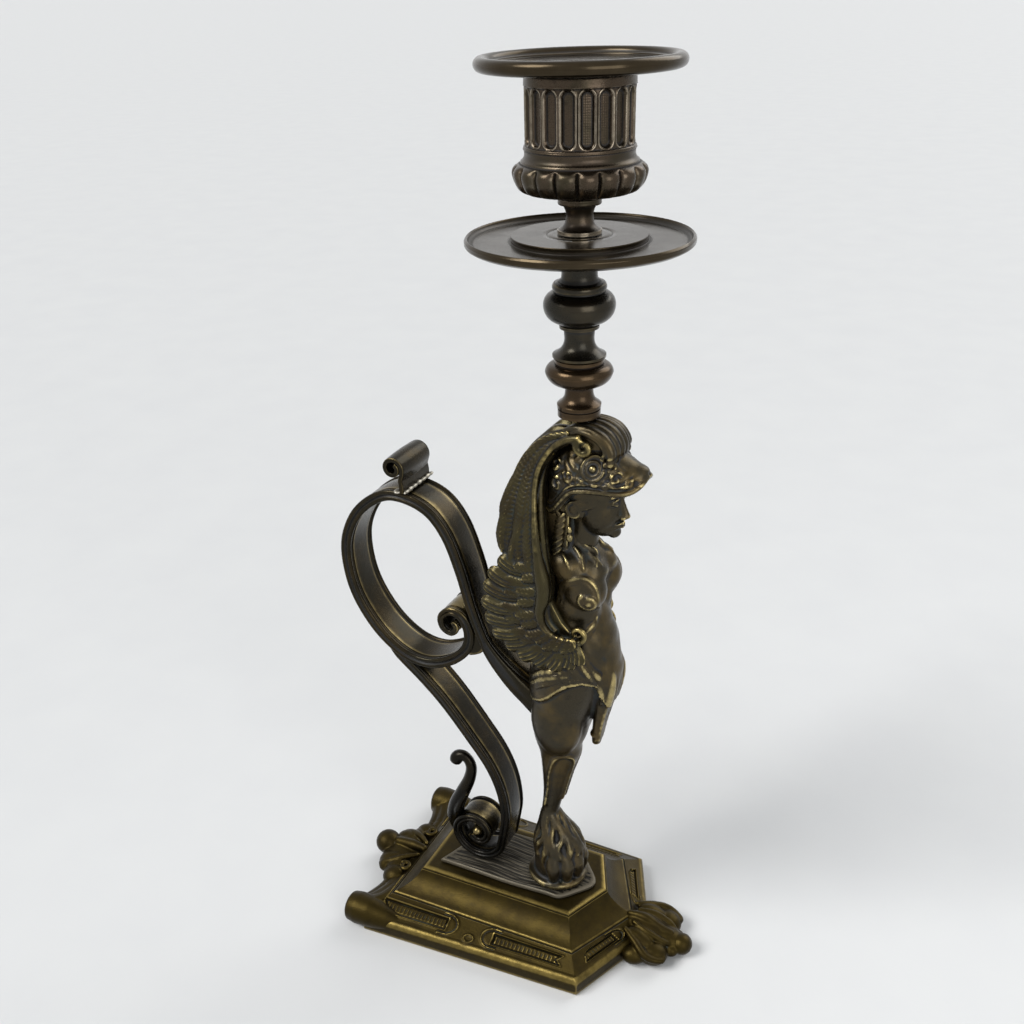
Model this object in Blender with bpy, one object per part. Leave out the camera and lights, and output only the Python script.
"""Brass candlestick: a winged, helmeted half figure on one lion's leg.

The leg and a scrolled ring handle stand on a hollow cast plinth.  A turned
stem on the figure's head carries a drip pan, a candle cup and a loose nozzle.
Sizes are in millimetres, measured from the stem's axis, with +X the way the
figure faces, +Z up and Z = 0 the surface that the plinth stands on.
"""
import math

import bmesh
import bpy
from mathutils import Matrix, Vector

MM = 0.001

# Plinth
BACK_REACH = 86.0
FRONT_REACH = 43.5
BASE_HEIGHT = 18.7
FOOT_HEIGHT = 10.8
RIM_HEIGHT = 7.2
RIM_EDGE_ROUND = 1.2
PLATFORM_LIP = 1.2
CAST_WALL = 3.0
PLATFORM_BACK = -54.2
PLATFORM_CORNER = 3.4
PLATFORM_POINT = 10.8
PLATFORM_HALF = 16.5
COVE_REACH = 8.2
RIM_BACK = -69.0
RIM_CORNER = 13.1
RIM_POINT = 27.5
RIM_FRONT_HALF = 33.1
RIM_BACK_HALF = 37.0

# Stem, from the figure's crown upwards
FIGURE_TOP = 195.2
KNOP_HEIGHT = 16.6
KNOP_RADIUS = 9.6
BALUSTER_HEIGHT = 29.9
BALUSTER_RADIUS = 9.9
PAN_RADIUS = 30.6
PAN_EDGE = 2.8
PAN_PLATE = 1.5
PAN_DISC_RADIUS = 18.2
PAN_DISC_HEIGHT = 1.6
CUP_HEIGHT = 38.3
CUP_RADIUS = 13.8
CUP_BELLY = 17.4
CUP_LOBES = 18
FLUTE_DEPTH = 0.9
LOBE_DEPTH = 1.5
CUP_FOOT_RADIUS = 5.9
CUP_FLOOR = 12.5
CANDLE_BORE = 10.5
SLEEVE_WALL = 0.6
SLEEVE_LENGTH = 17.0
NOZZLE_RADIUS = 26.6
NOZZLE_BEAD = 1.9
ROD_RADIUS = 2.0
ROD_IN_FIGURE = 12.0
ROD_IN_CUP = 4.5

# Fits
FIT_GAP = 0.3
ROD_CLEARANCE = 0.3
SLEEVE_CLEARANCE = 0.4

# Ground plate, paw and handle
PLATE_THICKNESS = 1.3
PLATE_BACK = -50.0
PLATE_CORNER = -2.5
PLATE_POINT = 7.0
PLATE_HALF = 11.8
PAW_X = -7.0
PAD_RADIUS = 9.3
PAD_HEIGHT = 2.6
TAIL_SEAT = -15.6
HANDLE_REACH = 82.4
BAND_WIDTH = 15.0
BAND_THICKNESS = 3.8
BAND_CHANNEL = 0.7
BEAD_WIDTH = 1.7
COIL_X = -37.6
COIL_RADIUS = 9.4
THUMB_ROLL_RADIUS = 4.0
SCREW_RADIUS = 1.6
SCREW_HEAD_RADIUS = 3.4
SCREW_HEAD_HEIGHT = 1.8
SCREW_BITE = 8.0
TAIL_SCREW_BITE = 2.4

# Wings
WING_INNER = 8.4
WING_THICKNESS = 5.0
RIM_BEAD_RADIUS = 1.5

# Facets
TURNED_SIDES = 28
SMALL_SIDES = 16
REMESH_CELL = 0.8
FIGURE_TRIANGLES = 3150

# Levels worked out from the sizes above
STEM_X = (BACK_REACH - FRONT_REACH) / 2.0
PLATE_BOTTOM = BASE_HEIGHT + FIT_GAP
PLATE_TOP = PLATE_BOTTOM + PLATE_THICKNESS
CAST_BOTTOM = PLATE_TOP + FIT_GAP
KNOP_BOTTOM = FIGURE_TOP + FIT_GAP
BALUSTER_BOTTOM = KNOP_BOTTOM + KNOP_HEIGHT + FIT_GAP
PAN_BOTTOM = BALUSTER_BOTTOM + BALUSTER_HEIGHT + FIT_GAP
PAN_TOP = PAN_BOTTOM + PAN_PLATE + PAN_DISC_HEIGHT
CUP_BOTTOM = PAN_TOP + FIT_GAP
CUP_TOP = CUP_BOTTOM + CUP_HEIGHT
NOZZLE_BOTTOM = CUP_TOP + FIT_GAP
ROD_HOLE = ROD_RADIUS + ROD_CLEARANCE
SLEEVE_RADIUS = CANDLE_BORE + SLEEVE_WALL
CUP_BORE = SLEEVE_RADIUS + SLEEVE_CLEARANCE
BAND_HALF = BAND_WIDTH / 2.0

# The figure and the handle were drawn at these sizes and stretch with the others
DRAWN_FOOT = 20.6
DRAWN_CROWN = 195.2
DRAWN_REACH = 82.4


def level(height):
    """Return a height on the drawing as a height between the foot and crown."""
    rise = (FIGURE_TOP - CAST_BOTTOM) / (DRAWN_CROWN - DRAWN_FOOT)
    return CAST_BOTTOM + (height - DRAWN_FOOT) * rise


def on_handle(knots):
    """Return the handle's knots, drawn from its seat, at the handle's own size."""
    stretch = (HANDLE_REACH + TAIL_SEAT) / (DRAWN_REACH + TAIL_SEAT)
    return tuple((TAIL_SEAT + (x - TAIL_SEAT) * stretch, level(z)) for x, z in knots)


def clear_scene():
    """Remove every object that the scene starts with."""
    for item in list(bpy.data.objects):
        bpy.data.objects.remove(item, do_unlink=True)


def finish_material(name, colour, roughness, metallic=0.9):
    """Return a Principled material of one plain finish."""
    material = bpy.data.materials.new(name)
    material.use_nodes = True
    shader = material.node_tree.nodes["Principled BSDF"]
    shader.inputs["Base Color"].default_value = (*colour, 1.0)
    shader.inputs["Roughness"].default_value = roughness
    shader.inputs["Metallic"].default_value = metallic
    material.diffuse_color = (*colour, 1.0)
    return material


def mesh_object(name, bm, material=None):
    """Turn a bmesh in millimetres into an object in metres, faces out."""
    bmesh.ops.remove_doubles(bm, verts=bm.verts, dist=0.0005)
    bmesh.ops.recalc_face_normals(bm, faces=bm.faces)
    bmesh.ops.translate(bm, verts=bm.verts, vec=(STEM_X, 0.0, 0.0))
    bmesh.ops.scale(bm, verts=bm.verts, vec=(MM, MM, MM))
    mesh = bpy.data.meshes.new(name)
    bm.to_mesh(mesh)
    bm.free()
    item = bpy.data.objects.new(name, mesh)
    bpy.context.collection.objects.link(item)
    if material:
        mesh.materials.append(material)
        mesh.shade_smooth()
        mesh.set_sharp_from_angle(angle=math.radians(35))
    return item


def settle(item):
    """Replace an object's mesh by what its modifiers make of it."""
    graph = bpy.context.evaluated_depsgraph_get()
    made = bpy.data.meshes.new_from_object(item.evaluated_get(graph))
    item.modifiers.clear()
    item.data = made
    return item


def combine(item, tools, operation, crossing=False):
    """Join tools to an object, or cut them out of it, and drop the tools.

    crossing says that a shape may pass through itself, as a tight scroll does.
    """
    for tool in tools:
        step = item.modifiers.new("combine", "BOOLEAN")
        step.operation = operation
        step.solver = "EXACT"
        step.use_self = crossing
        step.object = tool
        settle(item)
        bpy.data.objects.remove(tool, do_unlink=True)
    return item


def loft(bm, rings, closed_ends=True):
    """Skin rings that hold the same number of points, and cap both ends."""
    rows = [[bm.verts.new(point) for point in ring] for ring in rings]
    for low, high in zip(rows, rows[1:]):
        for index in range(len(low)):
            after = (index + 1) % len(low)
            bm.faces.new((low[index], low[after], high[after], high[index]))
    if closed_ends:
        bm.faces.new(rows[0])
        bm.faces.new(rows[-1])


def turned(name, profile, material=None, sides=TURNED_SIDES):
    """Spin a profile of (radius, height) points about the stem's axis."""
    bm = bmesh.new()
    points = [bm.verts.new((radius, 0.0, height)) for radius, height in profile]
    edges = [bm.edges.new(pair) for pair in zip(points, points[1:])]
    if profile[0][0] > 0.0:
        edges.append(bm.edges.new((points[-1], points[0])))
    bmesh.ops.spin(bm, geom=points + edges, cent=(0, 0, 0), axis=(0, 0, 1),
                   angle=2.0 * math.pi, steps=sides)
    bmesh.ops.remove_doubles(bm, verts=bm.verts, dist=0.001)
    return mesh_object(name, bm, material)


def cylinder(name, centre, radius, low, high, sides=SMALL_SIDES):
    """Return an upright cylinder at an x, y centre between two heights."""
    bm = bmesh.new()
    around = [2.0 * math.pi * index / sides for index in range(sides)]
    loft(bm, [[(centre[0] + radius * math.cos(turn),
                centre[1] + radius * math.sin(turn), height) for turn in around]
              for height in (low, high)])
    return mesh_object(name, bm)


def box(name, low, high):
    """Return a box between two corners."""
    bm = bmesh.new()
    loft(bm, [[(low[0], low[1], z), (high[0], low[1], z),
               (high[0], high[1], z), (low[0], high[1], z)]
              for z in (low[2], high[2])])
    return mesh_object(name, bm)


def add_ball(bm, centre, radii, tilt=0.0, segments=10, rings=7):
    """Add an ellipsoid, tilted about Y by a number of degrees."""
    made = bmesh.ops.create_uvsphere(bm, u_segments=segments,
                                     v_segments=rings, radius=1.0)
    shape = (Matrix.Translation(centre)
             @ Matrix.Rotation(math.radians(tilt), 4, "Y")
             @ Matrix.Diagonal((*radii, 1.0)))
    bmesh.ops.transform(bm, matrix=shape, verts=made["verts"])


def ball(name, centre, radii, tilt=0.0):
    """Return one ellipsoid as an object."""
    bm = bmesh.new()
    add_ball(bm, centre, radii, tilt)
    return mesh_object(name, bm)


def smooth_path(knots, steps):
    """Return points on a Catmull-Rom curve through knots of any size."""
    ends = ([2.0 * a - b for a, b in zip(knots[0], knots[1])],
            [2.0 * a - b for a, b in zip(knots[-1], knots[-2])])
    hull = [ends[0], *knots, ends[1]]
    points = []
    for index in range(len(knots) - 1):
        p0, p1, p2, p3 = hull[index:index + 4]
        for step in range(steps):
            t = step / steps
            points.append(tuple(
                0.5 * (2 * b + (c - a) * t + (2 * a - 5 * b + 4 * c - d) * t * t
                       + (3 * b - a - 3 * c + d) * t ** 3)
                for a, b, c, d in zip(p0, p1, p2, p3)))
    points.append(tuple(knots[-1]))
    return points


def spiral(centre, start, end, start_radius, end_radius, steps):
    """Return points on a spiral in the XZ plane, angles in degrees."""
    points = []
    for index in range(steps + 1):
        share = index / steps
        turn = math.radians(start + (end - start) * share)
        radius = start_radius + (end_radius - start_radius) * share
        points.append((centre[0] + radius * math.cos(turn),
                       centre[1] + radius * math.sin(turn)))
    return points


def across(path, index):
    """Return the unit normal of an XZ path at one of its points."""
    before = path[max(index - 1, 0)]
    after = path[min(index + 1, len(path) - 1)]
    along = Vector((after[0] - before[0], after[1] - before[1])).normalized()
    return Vector((-along.y, along.x))


def band(bm, path, half_width, thickness):
    """Sweep the moulded band, a channel between two beads, along a path.

    thickness gives the band's thickness for a share of the path's length.
    """
    rings = []
    for index, point in enumerate(path):
        normal = across(path, index)
        half = thickness(index / (len(path) - 1)) / 2.0
        wide = half_width
        field = max(half - BAND_CHANNEL, 0.4)
        section = ((wide - BEAD_WIDTH * 0.9, half), (wide, half * 0.4),
                   (wide, -half * 0.4), (wide - BEAD_WIDTH * 0.9, -half),
                   (wide - BEAD_WIDTH * 1.5, -field))
        ring = [(y, v) for y, v in section]
        ring += [(-y, v) for y, v in reversed(section)]
        ring += [(-(wide - BEAD_WIDTH * 1.5), field), (wide - BEAD_WIDTH * 1.5, field)]
        rings.append([(point[0] + normal.x * v, y, point[1] + normal.y * v)
                      for y, v in ring])
    loft(bm, rings)


def tube(bm, path, radius, y=0.0, flat=1.0, sides=10):
    """Sweep a round section along an XZ path, its radius a function of share."""
    rings = []
    for index, point in enumerate(path):
        normal = across(path, index)
        size = radius(index / (len(path) - 1))
        ring = []
        for side in range(sides):
            turn = 2.0 * math.pi * side / sides
            out = size * math.cos(turn)
            ring.append((point[0] + normal.x * out, y + size * flat * math.sin(turn),
                         point[1] + normal.y * out))
        rings.append(ring)
    loft(bm, rings)


def slab(bm, outline, low_y, high_y):
    """Extrude a closed XZ outline between two Y values."""
    loft(bm, [[(x, y, z) for x, z in outline] for y in (low_y, high_y)])


def limb(bm, stations, sides=16):
    """Skin oval stations of (back x, front x, height, half width)."""
    rings = []
    for back, front, height, half in stations:
        middle = (back + front) / 2.0
        reach = (front - back) / 2.0
        turns = [2.0 * math.pi * side / sides for side in range(sides)]
        rings.append([(middle + reach * math.cos(turn), half * math.sin(turn), height)
                      for turn in turns])
    loft(bm, rings)


def plan(back, back_half, corner, front_half, point, height):
    """Return the plinth's five-sided plan as a ring at one height."""
    return [(back, -back_half, height), (corner, -front_half, height),
            (point, 0.0, height), (corner, front_half, height),
            (back, back_half, height)]


def platform_plan(height, grow=0.0):
    """Return the top platform's plan, grown outwards by a distance."""
    slope = (PLATFORM_POINT - PLATFORM_CORNER) / PLATFORM_HALF
    return plan(PLATFORM_BACK - grow, PLATFORM_HALF + grow,
                PLATFORM_CORNER + grow * slope * 1.3, PLATFORM_HALF + grow,
                PLATFORM_POINT + grow * 1.2, height)


def rim_plan(height, inset=0.0):
    """Return the outer rim's plan, drawn in by a distance."""
    return plan(RIM_BACK + inset, RIM_BACK_HALF - inset,
                RIM_CORNER - inset * 0.6, RIM_FRONT_HALF - inset,
                RIM_POINT - inset * 1.2, height)


def make_base(material):
    """Plinth: stepped platform, cove and rim, hollow below, with its masks."""
    bm = bmesh.new()
    rings = [rim_plan(0.0, 0.5), rim_plan(0.6), rim_plan(RIM_HEIGHT - RIM_EDGE_ROUND),
             rim_plan(RIM_HEIGHT, RIM_EDGE_ROUND),
             platform_plan(FOOT_HEIGHT - 0.6, COVE_REACH + 1.0),
             platform_plan(FOOT_HEIGHT, COVE_REACH)]
    cove_rise = BASE_HEIGHT - PLATFORM_LIP - FOOT_HEIGHT
    cove_steps = 5
    for step in range(1, cove_steps + 1):
        turn = 0.5 * math.pi * step / cove_steps
        rings.append(platform_plan(FOOT_HEIGHT + cove_rise * (1.0 - math.cos(turn)),
                                   0.8 + (COVE_REACH - 0.8) * (1.0 - math.sin(turn))))
    rings += [platform_plan(BASE_HEIGHT - 0.4, 0.4), platform_plan(BASE_HEIGHT)]
    loft(bm, rings)
    base = mesh_object("base", bm, material)
    combine(base, [ball("lump", *lump) for lump in base_lumps()], "UNION")
    bm = bmesh.new()
    loft(bm, [rim_plan(-1.0, CAST_WALL), rim_plan(RIM_HEIGHT - CAST_WALL, CAST_WALL),
              platform_plan(FOOT_HEIGHT - CAST_WALL, COVE_REACH - CAST_WALL),
              platform_plan(BASE_HEIGHT - CAST_WALL, -CAST_WALL)])
    hollow = mesh_object("hollow", bm)
    reach = BACK_REACH + FRONT_REACH
    under = box("under", (-reach, -reach, -reach), (reach, reach, 0.0))
    holes = [cylinder("hole", (x, 0.0), SCREW_RADIUS + ROD_CLEARANCE,
                      FOOT_HEIGHT - CAST_WALL, BASE_HEIGHT + 1.0)
             for x in (PAW_X, COIL_X)]
    return combine(base, [hollow, under, *holes], "DIFFERENCE")


def base_lumps():
    """List the cast lumps of the rim as (centre, radii, tilt)."""
    tip_ball = 3.6
    back_ball = 4.6
    nose = FRONT_REACH - RIM_POINT
    shell = BACK_REACH + RIM_BACK
    ear = RIM_BACK_HALF - 4.0
    lumps = [((FRONT_REACH - tip_ball, 0.0, 4.0), (tip_ball, tip_ball, tip_ball), 0),
             ((RIM_POINT + nose * 0.40, 0.0, 4.2), (nose * 0.46, 6.0, 4.4), 0),
             ((RIM_POINT, 0.0, 7.6), (nose * 0.5, 5.4, 4.4), 15),
             ((RIM_BACK - shell * 0.40, 0.0, 4.4), (shell * 0.58, 8.0, 5.2), 0),
             ((back_ball - BACK_REACH, 0.0, 6.4), (back_ball, back_ball, back_ball), 0)]
    for side in (-1.0, 1.0):
        lumps += [((RIM_POINT + nose * 0.24, side * 9.0, 3.8), (nose * 0.32, 4.6, 4.2), 0),
                  ((RIM_POINT - 2.4, side * 5.6, 7.6), (nose * 0.40, 2.4, 3.0), 18),
                  ((RIM_BACK - shell * 0.34, side * 11.0, 4.2), (shell * 0.38, 5.6, 4.8), 0),
                  ((RIM_BACK - 1.0, side * 10.6, 8.6), (3.2, 3.2, 2.4), 0),
                  ((RIM_BACK - 2.0, side * (ear + 0.6), 4.4), (8.4, 5.0, 5.4), 0)]
    return lumps


def make_ground_plate(material):
    """Thin plate, cast like bare ground, between the plinth and the paw."""
    outline = [(PLATE_BACK, -PLATE_HALF + 1.0), (PLATE_CORNER - 22.0, -PLATE_HALF - 0.5),
               (PLATE_CORNER, -PLATE_HALF), (PLATE_POINT, 0.0),
               (PLATE_CORNER, PLATE_HALF), (PLATE_CORNER - 22.0, PLATE_HALF + 0.5),
               (PLATE_BACK, PLATE_HALF - 1.0), (PLATE_BACK + 4.0, 0.0)]
    bm = bmesh.new()
    loft(bm, [[(x, y, z) for x, y in outline] for z in (PLATE_BOTTOM, PLATE_TOP)])
    plate = mesh_object("ground_plate", bm, material)
    holes = [cylinder("hole", (x, 0.0), SCREW_RADIUS + ROD_CLEARANCE,
                      PLATE_BOTTOM - 1.0, PLATE_TOP + 1.0) for x in (PAW_X, COIL_X)]
    return combine(plate, holes, "DIFFERENCE")


def wing_outline():
    """Return the side outline of one wing: upswept plume and lower fan."""
    knots = ((8.4, 193.8), (3.0, 196.6), (-3.2, 197.0), (-10.4, 190.4), (-14.8, 182.6),
             (-17.8, 173.4), (-19.8, 164.0), (-20.0, 152.6), (-24.4, 145.4), (-26.8, 136.0),
             (-25.6, 128.4), (-20.6, 121.2), (-13.2, 117.0), (-5.4, 115.6), (1.6, 118.0),
             (6.2, 122.8), (7.2, 129.5), (1.6, 129.6), (-4.6, 137.0), (-4.4, 148.0),
             (-6.6, 160.0), (-6.9, 172.0), (-4.9, 182.0), (-1.0, 188.4), (7.6, 189.6))
    return [(x, level(z)) for x, z in smooth_path((*knots, knots[0]), 2)[:-1]]


def make_figure(material):
    """Half figure with wings, haunch, lion's leg and paw, cast in one."""
    bm = bmesh.new()
    foot = CAST_BOTTOM
    limb(bm, ((PAW_X - PAD_RADIUS, PAW_X + PAD_RADIUS, foot - 1.0, PAD_RADIUS),
              (PAW_X - PAD_RADIUS, PAW_X + PAD_RADIUS, foot + PAD_HEIGHT, PAD_RADIUS)))
    drawn = bmesh.new()
    limb(drawn, ((PAW_X - 8.8, PAW_X + 8.8, 21.6, 8.8), (PAW_X - 9.0, PAW_X + 9.2, 28.0, 8.9),
                 (PAW_X - 8.8, PAW_X + 8.9, 32.0, 8.6), (-14.8, 0.6, 38.0, 7.4),
                 (-14.2, -3.4, 42.6, 5.4), (-13.7, -7.2, 47.0, 3.7), (-13.1, -6.9, 51.0, 3.4),
                 (-12.5, -4.6, 58.0, 4.0), (-12.9, -1.9, 68.0, 5.4), (-13.6, 0.6, 75.0, 6.3),
                 (-14.7, 1.1, 79.0, 7.6), (-15.6, 3.0, 84.0, 9.0), (-15.6, 4.2, 91.0, 10.4),
                 (-15.4, 7.4, 100.0, 11.6), (-15.2, 10.0, 109.0, 12.2),
                 (-12.0, 13.0, 118.0, 12.0), (-9.0, 13.0, 125.0, 10.6),
                 (-8.0, 10.2, 131.0, 9.4), (-7.6, 7.8, 136.0, 9.0), (-7.6, 8.2, 142.0, 10.2),
                 (-7.4, 9.4, 148.0, 11.4), (-6.4, 7.4, 153.6, 9.6), (-4.6, 4.4, 157.6, 4.8),
                 (-4.4, 4.2, 166.0, 4.6)))
    limb(drawn, ((4.6, 8.0, 81.6, 2.0), (4.6, 9.0, 90.0, 3.6), (6.0, 12.0, 102.0, 5.2),
                 (8.0, 14.4, 113.0, 6.0), (8.0, 13.6, 122.0, 5.0)))
    add_ball(drawn, (3.0, 0.0, 169.2), (8.6, 7.2, 10.0))
    add_ball(drawn, (6.8, 0.0, 165.2), (5.2, 4.8, 5.6), tilt=20)
    add_ball(drawn, (1.4, 0.0, 178.6), (11.4, 9.2, 9.4), tilt=-8)
    add_ball(drawn, (13.4, 0.0, 179.6), (9.0, 7.2, 3.2), tilt=-14)
    add_ball(drawn, (7.8, 0.0, 189.6), (8.0, 6.6, 6.0), tilt=20)
    slab(drawn, ((-14.6, 104.0), (-4.0, 104.0), (-3.0, 148.0), (-4.0, 174.0), (-1.0, 196.0),
                 (-8.0, 192.6), (-13.0, 182.0), (-15.6, 166.0), (-14.6, 150.0)), -9.4, 9.4)
    for side in (-1.0, 1.0):
        add_ball(drawn, (4.8, side * 6.2, 145.0), (5.6, 5.6, 6.0))
        add_ball(drawn, (0.0, side * 9.2, 151.4), (6.0, 4.4, 4.4))
        add_ball(drawn, (-7.0, side * 5.8, 97.0), (8.0, 6.0, 12.0))
    bmesh.ops.scale(drawn, verts=drawn.verts, vec=(1.0, 1.0, level(1.0) - level(0.0)))
    bmesh.ops.translate(drawn, verts=drawn.verts, vec=(0.0, 0.0, level(0.0)))
    sketch = bpy.data.meshes.new("drawn")
    drawn.to_mesh(sketch)
    drawn.free()
    bm.from_mesh(sketch)
    bpy.data.meshes.remove(sketch)
    for side in (-1.0, 1.0):
        faces = sorted((side * WING_INNER, side * (WING_INNER + WING_THICKNESS)))
        slab(bm, wing_outline(), *faces)
        edge = smooth_path(((7.8, 190.4), (9.4, 193.4), (4.6, 194.6), (-3.0, 188.4), (-6.8, 179.0),
                            (-7.8, 166.0), (-5.8, 152.0), (-5.6, 142.0), (-4.6, 131.0),
                            (1.0, 126.6), (6.6, 129.0), (3.6, 131.6)), 3)
        tube(bm, [(x, level(z)) for x, z in edge], lambda share: RIM_BEAD_RADIUS,
             y=side * (WING_INNER + WING_THICKNESS - 0.2), sides=8)
    figure = mesh_object("figure", bm, material)
    remesh = figure.modifiers.new("one_skin", "REMESH")
    remesh.mode = "VOXEL"
    remesh.voxel_size = REMESH_CELL * MM
    settle(figure)
    fewer = figure.modifiers.new("fewer_facets", "DECIMATE")
    fewer.ratio = min(1.0, FIGURE_TRIANGLES / (2.0 * len(figure.data.polygons)))
    settle(figure)
    reach = BACK_REACH + FRONT_REACH
    cuts = [box("sole", (-reach, -reach, 0.0), (reach, reach, CAST_BOTTOM)),
            box("crown", (-reach, -reach, FIGURE_TOP), (reach, reach, FIGURE_TOP + reach)),
            box("tail_seat", (-reach, -BAND_HALF - 0.6, level(84.0)),
                (TAIL_SEAT, BAND_HALF + 0.6, level(150.0))),
            cylinder("rod_hole", (0.0, 0.0), ROD_HOLE, FIGURE_TOP - ROD_IN_FIGURE - FIT_GAP,
                     FIGURE_TOP + 1.0),
            cylinder("screw_hole", (PAW_X, 0.0), SCREW_RADIUS + ROD_CLEARANCE,
                     CAST_BOTTOM - 1.0, CAST_BOTTOM + SCREW_BITE)]
    combine(figure, cuts, "DIFFERENCE")
    figure.data.materials.clear()
    figure.data.materials.append(material)
    figure.data.shade_smooth()
    return figure


def ring_path():
    """Return the handle's line: haunch, riser, ring and its small end curl."""
    return smooth_path(on_handle((
        (-11.6, 97.6), (-21.2, 104.6), (-29.4, 115.0), (-34.4, 127.4), (-37.8, 139.8),
        (-42.2, 151.6), (-48.4, 159.2), (-57.2, 162.4), (-65.4, 161.4), (-74.4, 154.4),
        (-79.8, 144.0), (-80.4, 133.0), (-77.6, 121.8), (-70.6, 110.8), (-61.6, 103.8),
        (-52.6, 102.0), (-43.2, 105.6), (-36.0, 111.8), (-34.8, 117.4), (-37.2, 123.0),
        (-41.2, 124.4), (-44.4, 121.4), (-43.4, 117.8))), 2)


def scroll_path():
    """Return the lower line: off the ring, an S down to the plate, a coil."""
    coil_z = CAST_BOTTOM + COIL_RADIUS + BAND_THICKNESS / 2.0
    lead = smooth_path((*on_handle((
        (-68.0, 108.4), (-61.4, 101.6), (-54.6, 95.4), (-46.8, 86.8), (-37.6, 74.8),
        (-30.6, 64.6), (-26.6, 54.6), (-25.4, 43.6))),
        (COIL_X + (COIL_RADIUS + 1.6) * math.cos(math.radians(-14.0)),
         coil_z + (COIL_RADIUS + 1.6) * math.sin(math.radians(-14.0)))), 2)
    coil = spiral((COIL_X, coil_z), -24.0, -90.0, COIL_RADIUS + 1.0, COIL_RADIUS, 3)
    curl = spiral((COIL_X, coil_z), -90.0, -430.0, COIL_RADIUS, 2.8, 13)
    return lead[:-1] + coil[:-1] + curl


def make_tail_handle(material):
    """Tail that rises from the haunch to a finger ring, with the S below."""
    bm = bmesh.new()
    root = 14.0

    def riser_thickness(share):
        """Swell the band where it leaves the haunch."""
        swell = max(0.0, 1.0 - share / 0.13)
        return BAND_THICKNESS + (root - BAND_THICKNESS) * swell ** 1.4

    band(bm, ring_path(), BAND_HALF, riser_thickness)
    handle = mesh_object("tail_handle", bm, material)
    bm = bmesh.new()
    band(bm, scroll_path(), BAND_HALF - 0.4, lambda share: BAND_THICKNESS * (1.0 - 0.25 * share))
    scroll = mesh_object("scroll", bm)
    bm = bmesh.new()
    slab(bm, on_handle(((-40.0, 107.6), (-34.0, 104.6), (-26.6, 110.6), (-30.6, 121.0),
                        (-34.6, 119.6))), -BAND_HALF + 1.0, BAND_HALF - 1.0)
    web = mesh_object("web", bm)
    bm = bmesh.new()
    tendril = smooth_path(on_handle(((-45.8, 30.0), (-47.6, 36.6), (-45.4, 43.7), (-41.5, 51.3),
                                     (-40.0, 57.3), (-41.4, 61.8), (-44.9, 62.2),
                                     (-47.4, 58.4))), 2)
    tube(bm, tendril, lambda share: 3.6 - 1.6 * share + 2.2 * max(0.0, share - 0.75) * 2.0,
         sides=8)
    tendril = mesh_object("tendril", bm)
    combine(handle, [scroll, web, tendril], "UNION", crossing=True)
    reach = BACK_REACH + FRONT_REACH
    cuts = [cylinder("hole", (COIL_X, 0.0), SCREW_RADIUS + ROD_CLEARANCE,
                     CAST_BOTTOM - 1.0, CAST_BOTTOM + TAIL_SCREW_BITE + FIT_GAP),
            box("haunch_face", (TAIL_SEAT - FIT_GAP, -reach, CAST_BOTTOM),
                (reach, reach, FIGURE_TOP))]
    return combine(handle, cuts, "DIFFERENCE")


def make_thumb_scroll(material):
    """Rolled thumb piece, soldered across the top of the ring."""
    bm = bmesh.new()
    foot_x, crest = on_handle(((-56.9, 162.4),))[0]
    foot_z = crest + BAND_THICKNESS / 2.0 + FIT_GAP
    centre = (foot_x - 3.0, foot_z + 8.2)
    path = smooth_path(((foot_x + 0.6, foot_z), (foot_x + 0.9, foot_z + 3.4)), 2)[:-1]
    path += spiral(centre, -30.0, 400.0, THUMB_ROLL_RADIUS, 1.7, 20)
    rings = []
    half = 0.7
    for index, point in enumerate(path):
        normal = across(path, index)
        rings.append([(point[0] + normal.x * v, y, point[1] + normal.y * v)
                      for y, v in ((-8.6, -half), (-8.6, half), (8.6, half), (8.6, -half))])
    loft(bm, rings)
    return mesh_object("thumb_scroll", bm, material)


def make_lower_knop(material):
    """Turned knop that sits on the figure's crown."""
    low = KNOP_BOTTOM
    high = low + KNOP_HEIGHT
    return turned("lower_knop", (
        (ROD_HOLE, low), (6.1, low), (6.2, low + 1.6), (6.5, low + 2.0), (6.5, low + 3.4),
        (5.6, low + 4.2), (3.9, low + 5.6), (3.6, low + 7.0), (4.4, low + 8.8),
        (7.2, low + 9.8), (KNOP_RADIUS - 0.4, low + 11.2), (KNOP_RADIUS, low + 12.9),
        (KNOP_RADIUS - 0.6, low + 14.6), (7.4, high - 0.9), (7.0, high), (ROD_HOLE, high)),
        material)


def make_upper_baluster(material):
    """Turned baluster between the knop and the drip pan."""
    low = BALUSTER_BOTTOM
    high = low + BALUSTER_HEIGHT
    return turned("upper_baluster", (
        (ROD_HOLE, low), (7.2, low), (7.3, low + 1.2), (5.6, low + 2.2), (4.2, low + 4.0),
        (4.0, low + 6.2), (4.7, low + 7.8), (4.8, low + 8.6), (6.0, low + 9.0),
        (6.1, low + 10.2), (7.6, low + 11.0), (BALUSTER_RADIUS - 0.5, low + 12.6),
        (BALUSTER_RADIUS, low + 14.4), (BALUSTER_RADIUS - 0.8, low + 16.6),
        (6.6, low + 18.8), (5.4, low + 19.4), (6.7, low + 20.0), (6.7, low + 21.4),
        (5.2, low + 22.2), (4.6, low + 24.0), (5.2, low + 26.4), (7.6, low + 28.2),
        (8.4, high - 0.6), (8.4, high), (ROD_HOLE, high)), material)


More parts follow.
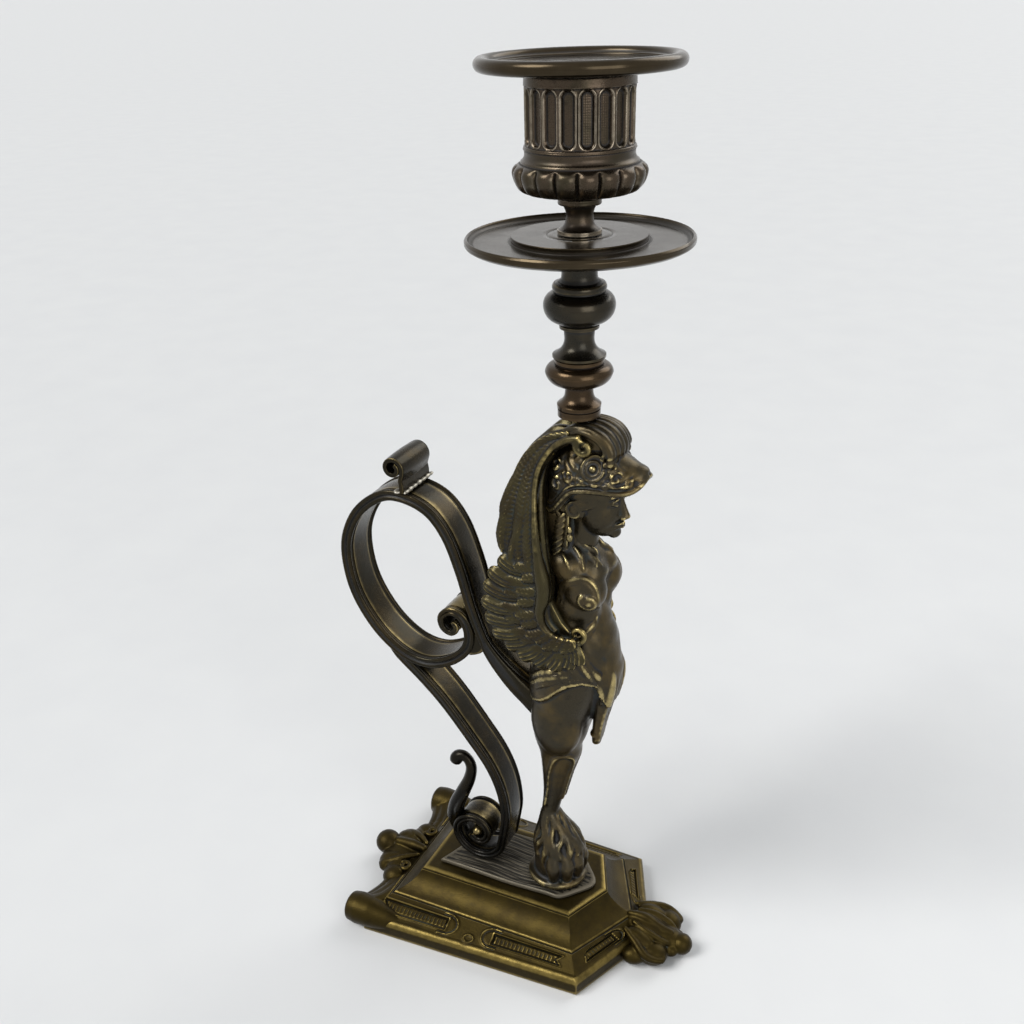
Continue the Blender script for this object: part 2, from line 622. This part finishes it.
def make_drip_pan(material):
    """Drip pan: a thin turned plate with a lip and a raised middle."""
    low = PAN_BOTTOM
    plate = low + PAN_PLATE
    edge = low + PAN_EDGE
    return turned("drip_pan", (
        (ROD_HOLE, low), (PAN_RADIUS - 3.0, low), (PAN_RADIUS - 0.7, low + 0.4),
        (PAN_RADIUS, low + 1.1), (PAN_RADIUS, edge - 0.6), (PAN_RADIUS - 0.5, edge),
        (PAN_RADIUS - 1.4, edge), (PAN_RADIUS - 2.0, plate), (PAN_DISC_RADIUS, plate),
        (PAN_DISC_RADIUS, PAN_TOP - 0.4), (PAN_DISC_RADIUS - 0.4, PAN_TOP),
        (ROD_HOLE, PAN_TOP)), material, sides=36)


def make_candle_cup(material):
    """Fluted candle cup, gadrooned below, cast with its trumpet foot."""
    low = CUP_BOTTOM
    floor = low + CUP_FLOOR
    rod_end = low + ROD_IN_CUP + FIT_GAP
    belly = low + 14.2
    collar = CUP_TOP - 3.6
    cut = FLUTE_DEPTH
    lobe = LOBE_DEPTH
    profile = ((0.0, rod_end, 0.0), (ROD_HOLE, rod_end, 0.0), (ROD_HOLE, low, 0.0),
               (CUP_FOOT_RADIUS, low, 0.0), (CUP_FOOT_RADIUS, low + 1.0, 0.0),
               (4.2, low + 2.8, 0.0), (4.1, low + 6.4, 0.0), (5.6, low + 7.8, 0.0),
               (5.6, low + 8.8, 0.0), (10.6, low + 10.2, lobe * 0.5),
               (CUP_BELLY - 1.4, low + 11.8, lobe), (CUP_BELLY, belly, lobe),
               (CUP_BELLY - 1.8, low + 16.6, lobe * 0.7), (CUP_BELLY - 2.6, low + 17.6, 0.0),
               (CUP_RADIUS + 0.4, low + 19.6, 0.0), (CUP_RADIUS + 0.2, low + 22.4, 0.0),
               (CUP_RADIUS, low + 23.6, cut), (CUP_RADIUS, collar - 1.2, cut),
               (CUP_RADIUS, collar, 0.0), (CUP_RADIUS, CUP_TOP, 0.0), (CUP_BORE, CUP_TOP, 0.0),
               (CUP_BORE, floor + 1.0, 0.0), (CUP_BORE - 1.0, floor, 0.0), (0.0, floor, 0.0))
    sides = 2 * CUP_LOBES
    bm = bmesh.new()
    rings = []
    for radius, height, depth in profile:
        ring = []
        for side in range(sides):
            turn = 2.0 * math.pi * side / sides
            reach = max(radius - depth * (side % 2), 0.0)
            ring.append((reach * math.cos(turn), reach * math.sin(turn), height))
        rings.append(ring)
    loft(bm, rings, closed_ends=False)
    return mesh_object("candle_cup", bm, material)


def make_nozzle(material):
    """Loose nozzle: a beaded dish with a sleeve that drops into the cup."""
    low = NOZZLE_BOTTOM
    bead_z = low + 2.6
    bead_x = NOZZLE_RADIUS - NOZZLE_BEAD
    profile = [(CANDLE_BORE, low - SLEEVE_LENGTH), (SLEEVE_RADIUS, low - SLEEVE_LENGTH),
               (SLEEVE_RADIUS, low), (CUP_RADIUS + 0.6, low), (20.0, low + 0.7)]
    for turn in range(-120, 151, 54):
        angle = math.radians(turn)
        profile.append((bead_x + NOZZLE_BEAD * math.cos(angle),
                        bead_z + NOZZLE_BEAD * math.sin(angle)))
    profile += [(21.0, low + 2.6), (19.6, low + 2.0), (CANDLE_BORE + 1.6, low + 1.4),
                (CANDLE_BORE + 0.6, low + 1.9), (CANDLE_BORE, low + 1.5)]
    return turned("nozzle", profile, material, sides=36)


def make_stem_rod(material):
    """Rod that runs inside the stem from the crown to the cup."""
    bm = bmesh.new()
    low = FIGURE_TOP - ROD_IN_FIGURE
    high = CUP_BOTTOM + ROD_IN_CUP
    around = [2.0 * math.pi * index / SMALL_SIDES for index in range(SMALL_SIDES)]
    loft(bm, [[(ROD_RADIUS * math.cos(turn), ROD_RADIUS * math.sin(turn), height)
               for turn in around] for height in (low, high)])
    return mesh_object("stem_rod", bm, material)


def make_screw(name, centre_x, bite, material):
    """Screw from inside the plinth up into the casting above it."""
    under = BASE_HEIGHT - CAST_WALL - FIT_GAP
    bm = bmesh.new()
    rings = []
    for radius, height in ((SCREW_HEAD_RADIUS - 0.4, under - SCREW_HEAD_HEIGHT),
                           (SCREW_HEAD_RADIUS, under - SCREW_HEAD_HEIGHT + 0.5),
                           (SCREW_HEAD_RADIUS, under), (SCREW_RADIUS, under),
                           (SCREW_RADIUS, CAST_BOTTOM + bite)):
        rings.append([(centre_x + radius * math.cos(2.0 * math.pi * side / SMALL_SIDES),
                       radius * math.sin(2.0 * math.pi * side / SMALL_SIDES), height)
                      for side in range(SMALL_SIDES)])
    loft(bm, rings)
    return mesh_object(name, bm, material)


def main():
    """Build every piece of the candlestick."""
    clear_scene()
    light_brass = finish_material("base_brass", (0.42, 0.33, 0.14), 0.42)
    bronze = finish_material("figure_bronze", (0.17, 0.13, 0.08), 0.45)
    stem_brown = finish_material("stem_brown", (0.15, 0.10, 0.06), 0.35)
    screw_brass = finish_material("screw_brass", (0.40, 0.32, 0.18), 0.5)
    make_base(light_brass)
    make_ground_plate(bronze)
    make_figure(bronze)
    make_tail_handle(bronze)
    make_thumb_scroll(bronze)
    make_lower_knop(stem_brown)
    make_upper_baluster(stem_brown)
    make_drip_pan(stem_brown)
    make_candle_cup(stem_brown)
    make_nozzle(stem_brown)
    make_stem_rod(screw_brass)
    make_screw("paw_screw", PAW_X, SCREW_BITE - FIT_GAP, screw_brass)
    make_screw("tail_screw", COIL_X, TAIL_SCREW_BITE, screw_brass)


main()
